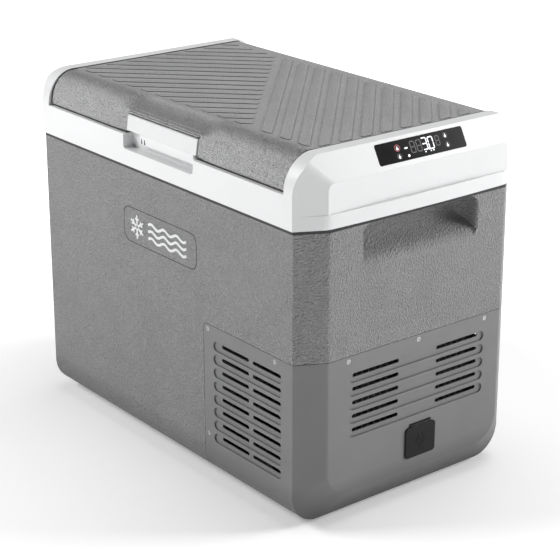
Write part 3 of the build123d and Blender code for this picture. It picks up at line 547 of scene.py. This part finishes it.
def make_display_marks():
    """Lit and dim numbers, and generic key marks, on the display glass."""
    place = display_place()
    lit, dim, red = bmesh.new(), bmesh.new(), bmesh.new()
    for kind, centre, size, names in DIGITS:
        digit(lit if kind == "lit" else dim, place, centre, size, names)
    for start, end, width in BARS:
        bar(lit, place, start, end, width)
    for centre, radius in DOTS:
        dot(lit, place, centre, radius)
    for x, y in KEYS:
        key_mark(lit, dim, place, x, y)
    ring(red, Vector(KEYS[0]) * MM, 3.9 * MM, 0.7 * MM, place, MARK_T * 1.4)
    bright = glow_material("segment_lit", (0.95, 0.97, 1.0), 1.6)
    faint = glow_material("segment_dim", (0.5, 0.5, 0.52), 0.09)
    warm = glow_material("segment_red", (0.9, 0.05, 0.06), 0.45)
    for name, sheet, material in (("display_lit_marks", lit, bright), ("display_dim_marks", dim, faint),
                                  ("display_red_mark", red, warm)):
        add_piece(name, sheet, "case", material)


# ------------------------------------------------------------------ badge and flap marks

LINE_W, LINE_OUT, LINE_PROUD, BADGE_ROUND = 0.9 * MM, 0.5 * MM, 0.12 * MM, 14 * MM
MARK_PROUD = 0.7 * MM
ARM_REACH, ARM_W, TWIG_AT, TWIG_REACH, TWIG_TURN = 0.32, 2.6 * MM, 0.55, 0.3, math.radians(52)
WAVE_W, WAVE_SWELL, WAVE_COUNT, WAVE_STEPS = 3.2 * MM, 2.3 * MM, 3, 48


def pointing(angle, reach):
    """Flat vector at an angle."""
    return Vector((math.cos(angle), math.sin(angle))) * reach


def badge_plane():
    """Place of the badge plate's face, and its width and height."""
    low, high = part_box("badge_plate")
    middle = Vector(((low.x + high.x) / 2, low.y, (low.z + high.z) / 2))
    return flat_place(middle, Vector((1, 0, 0)), Vector((0, 0, 1))), high.x - low.x, high.z - low.z


def snowflake(sheet, place, centre, reach):
    """Adds six arms, each with two side twigs."""
    for turn in range(6):
        angle = math.radians(30 + 60 * turn)
        tip = pointing(angle, reach)
        slab(sheet, bar_outline(centre + tip * 0.06, centre + tip, ARM_W), place, MARK_PROUD)
        root = centre + tip * TWIG_AT
        for side in (-1, 1):
            twig = pointing(angle + side * TWIG_TURN, reach * TWIG_REACH)
            slab(sheet, bar_outline(root, root + twig, ARM_W * 0.8), place, MARK_PROUD * 0.9)


def make_badge_mark():
    """Generic snowflake and three waves, raised on the badge plate."""
    place, width, height = badge_plane()
    sheet = bmesh.new()
    snowflake(sheet, place, Vector((-0.31 * width, 0)), height * ARM_REACH)
    for row in (-1, 0, 1):
        shares = [step / WAVE_STEPS for step in range(WAVE_STEPS + 1)]
        ribbon(sheet, [((0.52 * share - 0.15) * width,
                        row * height * 0.2 + WAVE_SWELL * math.sin(share * WAVE_COUNT * 2 * math.pi))
                       for share in shares], WAVE_W, place, MARK_PROUD)
    add_piece("badge_mark", sheet, "case", MATERIALS["frame_white"], 30)


def make_badge_outline():
    """Dark shadow line round the badge plate."""
    place, width, height = badge_plane()
    sheet = bmesh.new()
    rims = []
    for step, lift in ((0, 0), (0, LINE_PROUD), (-LINE_W, LINE_PROUD), (-LINE_W, 0)):
        half_x, half_z = width / 2 + LINE_OUT + step, height / 2 + LINE_OUT + step
        corners = [Vector((x * half_x, z * half_z)) for x, z in ((-1, -1), (1, -1), (1, 1), (-1, 1))]
        rims.append([place @ Vector((*point, lift)) for point in rounded(corners, BADGE_ROUND + step)])
    join_rims(sheet, rims)
    add_piece("badge_outline", sheet, "case", MATERIALS["seal_rubber"], 30)


PLUG_BODY = [(-6, 3), (6, 3), (6, -1), (3, -4), (-3, -4), (-6, -1)]      # outline in mm
PLUG_LINES = [((-3, 3), (-3, 8)), ((3, 3), (3, 8)), ((0, -4), (0, -10))]   # two blades and a cord
PLUG_W, PLUG_PROUD, PLUG_SINK, PLUG_UP = 0.9 * MM, 0.25 * MM, 0.1 * MM, 19 * MM


def make_flap_mark():
    """Embossed outline of a generic plug on the inlet flap."""
    low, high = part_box("socket_flap")
    middle = Vector((high.x, (low.y + high.y) / 2, low.z + PLUG_UP))
    place = flat_place(middle, Vector((0, 1, 0)), Vector((0, 0, 1)))
    sheet = bmesh.new()
    for start, end in list(zip(PLUG_BODY, PLUG_BODY[1:] + PLUG_BODY[:1])) + PLUG_LINES:
        line = bar_outline(Vector(start) * MM, Vector(end) * MM, PLUG_W)
        slab(sheet, line, place, PLUG_PROUD, PLUG_SINK)
    add_piece("flap_mark", sheet, "flap", MATERIALS["black_plastic"])


# ------------------------------------------------------------------ painted shadow in the seam under the top frame

SEAM_H, SEAM_PROUD, SEAM_IN = 4 * MM, 0.15 * MM, 0.99                     # SEAM_IN is the inner rim's share
CASE_STRAIGHT, CASE_FRONT, CASE_BACK = 247.8 * MM, 34.5 * MM, 22 * MM     # the case's four cut corners


def make_collar_seam():
    """Dark strip of painted shadow that fills the gap between the case and the top frame."""
    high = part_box("outer_shell")[1]
    half_l, half_w = high.x + SEAM_PROUD, high.y + SEAM_PROUD
    ends = [(CASE_STRAIGHT, -half_w), (half_l, CASE_FRONT - half_w), (half_l, half_w - CASE_BACK),
            (CASE_STRAIGHT, half_w)]
    outline = ends + [(-x, y) for x, y in reversed(ends)]
    sheet = bmesh.new()
    join_rims(sheet, [[(x * share, y * share, high.z - height) for x, y in outline]
                      for share, height in ((1, 0), (1, SEAM_H), (SEAM_IN, SEAM_H), (SEAM_IN, 0))])
    bmesh.ops.recalc_face_normals(sheet, faces=sheet.faces)
    add_piece("collar_seam_painted_shadow", sheet, "case", MATERIALS["seal_rubber"], 30)


# ------------------------------------------------------------------ lid

SHOULDER_Y, SHOULDER_DROP, BACK_DEPTH = 32 * MM, 37 * MM, 10 * MM      # rounded front, and rounded back
SKIN_T, COLUMN_STEP, ROW_STEP = 3 * MM, 7 * MM, 6 * MM
BACK_STEPS, FRONT_STEP, ANGLE_HAIR = 12, math.radians(3), 1e-6

# the latch's notch, and the finger scoop over it
LATCH_MID, NOTCH_HALF, NOTCH_TOP, NOTCH_DEEP = 3 * MM, 70 * MM, 414 * MM, 15 * MM
SCOOP_BACK, SCOOP_SIDE, SCOOP_FADE = 6 * MM, 66 * MM, 28 * MM
SCOOP_LIP, SCOOP_SAG = 1.5 * MM, 10.5 * MM
SCOOP_TUCK, SCOOP_TUCK_OVER = 2.5 * MM, math.radians(25)

# pads, and the field that they fill
PAD_H, PAD_W, PAD_PITCH, PAD_ROUND = 0.9 * MM, 12 * MM, 21.5 * MM, 2.6 * MM
PAD_CHANNEL, PAD_SINK, PAD_SOFT = 4 * MM, 0.3 * MM, 0.45 * MM
PAD_CORNER, LEFT_START_Y = Vector((-127 * MM, 118 * MM)), 104 * MM     # where the two families start
PAD_LEAN, PAD_LEAN_LEFT = math.radians(-42.5), math.radians(44.5)
PAD_ROWS, PAD_ROWS_LEFT, PAD_LEAST = 12, 19, 60 * MM * MM
FIELD_EDGE, FIELD_HALF, FIELD_MID = 5 * MM, 118 * MM, 2 * MM
FLANK_LOW, FLANK_HIGH = 0.6 * MM, 0.15 * MM                            # depths over which painted shade darkens a pad's flank

# painted shadow: dark strips under the front edge and along both ends, and dark notches at their corners
RIM_H, SHADOW_SHARE = 37 * MM, 0.9         # the top frame's band, and the share of the gap over it that the dark front strip fills
SHADOW_T, SHADOW_OUT, SHADOW_LIFT = 0.8 * MM, 0.7 * MM, 0.1 * MM
CORNER_IN, CORNER_Y, CORNER_DEEP, CORNER_LOW = 3 * MM, (-127 * MM, -118 * MM), 2 * MM, 0.5 * MM

# lip over the latch, and the hook plate's slots
LIP_FRONT, LIP_BACK = (-151.8 * MM, 412.5 * MM), (-146.0 * MM, 414.1 * MM)      # y and z of two corners
SLOT_X, SLOT_T, SLOT_Z, HOOK_Y = (-39 * MM, -33 * MM), 1.3 * MM, (380.8 * MM, 386.8 * MM), -152.9 * MM


def smooth_step(value):
    """0 to 1 with an even start and end."""
    value = max(0.0, min(1.0, value))
    return value * value * (3 - 2 * value)


def spread(low, high, step, stops=()):
    """Even values from low to high that also pass through the stops."""
    marks = sorted({low, high, *stops})
    values = [low]
    for start, end in zip(marks, marks[1:]):
        count = max(1, math.ceil((end - start) / step))
        values += [start + (end - start) * (i + 1) / count for i in range(count)]
    return values


def lid_profile(low, high):
    """The lid's side view from the back's low edge over the top to the front's: (y, z, front angle)."""
    top = high.z - PAD_H
    axis_z, nose_y, tail_y = top - SHOULDER_DROP, low.y + SHOULDER_Y, high.y - BACK_DEPTH
    points = [(high.y, low.z, 0.0)]
    for i in range(BACK_STEPS + 1):
        angle = math.pi / 2 * i / BACK_STEPS
        points.append((tail_y + BACK_DEPTH * math.cos(angle), axis_z + SHOULDER_DROP * math.sin(angle),
                       0.0))
    points += [(y, top, 0.0) for y in spread(nose_y, tail_y, ROW_STEP, (nose_y + SCOOP_BACK,))[-2:0:-1]]
    notch_angle = math.asin((NOTCH_TOP - axis_z) / SHOULDER_DROP)
    lip_angle = math.asin((NOTCH_TOP + SCOOP_LIP - axis_z) / SHOULDER_DROP)
    for angle in reversed(spread(0.0, math.pi / 2, FRONT_STEP, (notch_angle, lip_angle))):
        points.append((nose_y - SHOULDER_Y * math.cos(angle), axis_z + SHOULDER_DROP * math.sin(angle),
                       math.pi / 2 - angle + ANGLE_HAIR))
    points.append((low.y, low.z, math.pi / 2))
    return points, math.pi / 2 - notch_angle, math.pi / 2 - lip_angle


def scooped(x, y, z, angle, lip_angle, nose_y, top):
    """The point after the finger scoop over the latch is pressed into the lid's shoulder."""
    side = abs(x - LATCH_MID)
    weight = smooth_step(1 - (side - SCOOP_SIDE) / SCOOP_FADE)
    start_y = nose_y + SCOOP_BACK
    if weight == 0 or y > start_y:
        return y, z
    end_y, end_z = nose_y - SHOULDER_Y * math.sin(lip_angle), NOTCH_TOP + SCOOP_LIP
    if angle <= lip_angle:
        share = (start_y - y) / (start_y - end_y)
        low = (1 - share) ** 2 * top + 2 * share * (1 - share) * (top - SCOOP_SAG) + share ** 2 * end_z
        return y, z + (min(low, z) - z) * weight
    tuck = SCOOP_TUCK * smooth_step((angle - lip_angle) / SCOOP_TUCK_OVER)
    return y + tuck * weight, z


def make_lid_shell():
    """Lid skin with rounded shoulders, the finger scoop and the latch notch, in one mesh."""
    low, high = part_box("lid_outer")
    nose_y, top, back_y = low.y + SHOULDER_Y, high.z - PAD_H, low.y + NOTCH_DEEP
    profile, notch_angle, lip_angle = lid_profile(low, high)
    stops = [LATCH_MID + side * step for side in (-1, 1)
             for step in (NOTCH_HALF, SCOOP_SIDE, SCOOP_SIDE + SCOOP_FADE)]
    columns = spread(low.x, high.x, COLUMN_STEP, stops)
    sheet = bmesh.new()
    grid = []
    for x in columns:
        line = [(x, *scooped(x, y, z, angle, lip_angle, nose_y, top)) for y, z, angle in profile]
        grid.append([sheet.verts.new(point) for point in line])
    first_cut = max(i for i, (_, _, angle) in enumerate(profile) if angle <= notch_angle + 10 * ANGLE_HAIR)
    left, right = (min(range(len(columns)), key=lambda i: abs(columns[i] - LATCH_MID - side * NOTCH_HALF))
                   for side in (-1, 1))
    for i in range(len(columns) - 1):
        for j in range(len(profile) - 1):
            if left <= i < right and j >= first_cut:
                continue
            sheet.faces.new((grid[i][j], grid[i][j + 1], grid[i + 1][j + 1], grid[i + 1][j]))
    for column in (grid[0], grid[-1]):
        sheet.faces.new(column)
    rim = [grid[left][j] for j in range(len(profile) - 1, first_cut, -1)]
    rim += [grid[i][first_cut] for i in range(left, right + 1)]
    rim += [grid[right][j] for j in range(first_cut + 1, len(profile))]
    inner = [sheet.verts.new((v.co.x, back_y, v.co.z)) for v in rim]
    for i in range(len(rim) - 1):
        sheet.faces.new((rim[i], rim[i + 1], inner[i + 1], inner[i]))
    sheet.faces.new(inner)
    doomed = [v for row in grid[left + 1:right] for v in row[first_cut + 1:]]
    bmesh.ops.delete(sheet, geom=doomed, context="VERTS")
    bmesh.ops.recalc_face_normals(sheet, faces=sheet.faces)
    if max(sheet.faces, key=lambda f: f.calc_center_median().z).normal.z < 0:
        bmesh.ops.reverse_faces(sheet, faces=sheet.faces)
    shell = add_piece("lid_shell", sheet, "lid", MATERIALS["lid_grey"], 40)
    skin = shell.modifiers.new("skin", "SOLIDIFY")
    skin.thickness, skin.offset, skin.use_even_offset = SKIN_T, -1, True
    soften(shell, 0.7 * MM)
    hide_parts("lid_outer")


def make_lid_seams():
    """Dark strips of painted shadow under the lid's front edge and along both of its ends, and dark notches
    at their corners.
    """
    low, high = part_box("lid_outer")
    sheet = bmesh.new()
    shadow_z = low.z - (low.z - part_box("top_frame")[0].z - RIM_H) * SHADOW_SHARE
    for x0, x1 in ((low.x, LATCH_MID - NOTCH_HALF), (LATCH_MID + NOTCH_HALF, high.x)):
        box_between(sheet, (x0 + SHADOW_T, low.y + SHADOW_T, shadow_z), (x1 - SHADOW_T, low.y + SKIN_T, low.z))
    profile = [(y, z) for y, z, _ in lid_profile(low, high)[0]]
    section = ((-SHADOW_T, -SHADOW_T), (SHADOW_OUT, -SHADOW_T), (SHADOW_OUT, SHADOW_LIFT), (-SHADOW_T, SHADOW_LIFT))
    for x, side in ((low.x, -1), (high.x, 1)):
        rows = []
        for i, (y, z) in enumerate(profile):
            before, after = Vector(profile[max(i - 1, 0)]), Vector(profile[min(i + 1, len(profile) - 1)])
            way = (after - before).normalized()
            rows.append([(x + side * step, y - way.y * lift, z + way.x * lift) for step, lift in section])
        join_rows(sheet, rows)
        near, far = sorted((x + side * SHADOW_OUT, x - side * CORNER_IN))
        box_between(sheet, (near, CORNER_Y[0], high.z - PAD_H - CORNER_DEEP),
                    (far, CORNER_Y[1], high.z - CORNER_LOW))
    bmesh.ops.recalc_face_normals(sheet, faces=sheet.faces)
    add_piece("lid_seam_shadows_and_notches", sheet, "lid", MATERIALS["seal_rubber"], 40)


def make_latch_lip():
    """Lip of the lid over the latch's top edge."""
    sheet = bmesh.new()
    box_between(sheet, (LATCH_MID - NOTCH_HALF, *LIP_FRONT), (LATCH_MID + NOTCH_HALF, *LIP_BACK))
    lip = add_piece("latch_lip", sheet, "lid", MATERIALS["lid_grey"], 40)
    soften(lip, 0.4 * MM)


def make_latch_details():
    """Black boxes of painted shade for two short slots at the left of the latch's hook plate."""
    sheet = bmesh.new()
    front, back = HOOK_Y - 2 * MARK_T, HOOK_Y + 4 * MARK_T
    for x in SLOT_X:
        box_between(sheet, (x, front, SLOT_Z[0]), (x + SLOT_T, back, SLOT_Z[1]))
    add_piece("latch_slot_painted_shade", sheet, "latch", MATERIALS["black_plastic"], 40)


def clip(outline, point, normal):
    """The part of a convex outline on the far side of a line, where its normal points."""
    kept = []
    for a, b in zip(outline, outline[1:] + outline[:1]):
        reach_a, reach_b = (a - point).dot(normal), (b - point).dot(normal)
        if reach_a >= 0:
            kept.append(a)
        if reach_a * reach_b < 0:
            kept.append(a + (b - a) * reach_a / (reach_a - reach_b))
    return kept


def pad_strip(field, middle, up):
    """The part of the field under one pad, which runs across up."""
    return clip(clip(field, middle - up * PAD_W / 2, up), middle + up * PAD_W / 2, -up)


def pad_outlines(low, high):
    """Two families of slanting pads that meet on a diagonal."""
    left, right = low.x + FIELD_EDGE, high.x - FIELD_EDGE
    near, far = FIELD_MID - FIELD_HALF, FIELD_MID + FIELD_HALF
    field = [Vector(corner) for corner in ((left, near), (right, near), (right, far), (left, far))]
    up, up_left = (Vector((-math.sin(lean), math.cos(lean))) for lean in (PAD_LEAN, PAD_LEAN_LEFT))
    outlines = [pad_strip(field, PAD_CORNER + up * (row * PAD_PITCH + PAD_PITCH / 2 + PAD_CHANNEL), up)
                for row in range(PAD_ROWS)]
    left_field = clip(field, PAD_CORNER - up * PAD_CHANNEL, -up)
    outlines += [pad_strip(left_field, Vector((low.x, LEFT_START_Y)) - up_left * row * PAD_PITCH, up_left)
                 for row in range(PAD_ROWS_LEFT)]
    return [rounded(outline, PAD_ROUND) for outline in outlines if outline_area(outline) > PAD_LEAST]


def outline_area(outline):
    """Area of an outline, 0 if too few corners are left of it."""
    if len(outline) < 3:
        return 0.0
    return abs(sum(a.cross(b) for a, b in zip(outline, outline[1:] + outline[:1]))) / 2


def make_lid_pads():
    """Raised pads on the lid's flat top, with painted shade down the sides of each pad."""
    low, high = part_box("lid_outer")
    flank_painted_shade = ("Object", "Z", 0.2, 1.0, high.z - FLANK_LOW, high.z - FLANK_HIGH)
    material = stipple_grey("lid_pad_grey_painted_shade", flank_painted_shade)
    place = Matrix.Translation((0, 0, high.z - PAD_H))
    sheet = bmesh.new()
    for outline in pad_outlines(low, high):
        slab(sheet, outline, place, PAD_H, PAD_SINK)
    tops = [e for e in sheet.edges if all(v.co.z > high.z - 0.01 * MM for v in e.verts)]
    bmesh.ops.bevel(sheet, geom=tops, offset=PAD_SOFT, segments=2, profile=0.6, affect="EDGES")
    add_piece("lid_pads", sheet, "lid", material, 50)


# ------------------------------------------------------------------ build


make_camera()
make_studio()
make_floor()
dress_cad_nodes()
make_lid_shell()
make_lid_pads()
make_lid_seams()
make_latch_lip()
make_latch_details()
make_display_marks()
make_badge_mark()
make_badge_outline()
make_flap_mark()
make_collar_seam()
